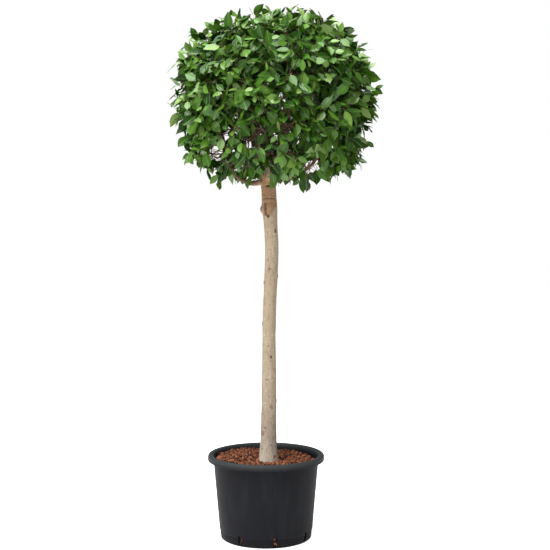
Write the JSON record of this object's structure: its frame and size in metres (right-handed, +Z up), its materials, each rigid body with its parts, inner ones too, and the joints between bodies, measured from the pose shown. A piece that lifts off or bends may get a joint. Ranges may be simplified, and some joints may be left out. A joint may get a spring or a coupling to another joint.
{
  "type": "standard topiary tree in a pot",
  "caption": "Small-leaved fig trained as a standard: a clipped leafy ball on one clean stem, in a round black nursery pot filled with red-brown clay granules.",
  "frame": {"origin": "middle of the pot's flat underside, on the floor", "axes": "+Z up along the stem, -Y to the side seen in the picture, +X to the right of it"},
  "size_m": [0.7301, 0.7273, 1.8302],
  "materials": {
    "pot_plastic": "black moulded plastic, satin",
    "clay_granules": "red-brown fired clay, rough",
    "bark": "pale grey-brown bark, rough",
    "young_bark": "brown young bark, rough",
    "foliage": "green leaves, some dark and some light, satin"
  },
  "bodies": {
    "root": {"pot": "pot_plastic", "granules": "clay_granules", "trunk": "bark", "bough_low_1": "young_bark", "bough_low_2": "young_bark", "bough_low_3": "young_bark", "bough_low_4": "young_bark", "bough_low_5": "young_bark", "bough_high_1": "young_bark", "bough_high_2": "young_bark", "bough_high_3": "young_bark", "bough_high_4": "young_bark", "bough_top_1": "young_bark", "foliage_low_1": "foliage", "foliage_low_2": "foliage", "foliage_low_3": "foliage", "foliage_low_4": "foliage", "foliage_low_5": "foliage", "foliage_high_1": "foliage", "foliage_high_2": "foliage", "foliage_high_3": "foliage", "foliage_high_4": "foliage", "foliage_top_1": "foliage"}
  },
  "joints": []
}
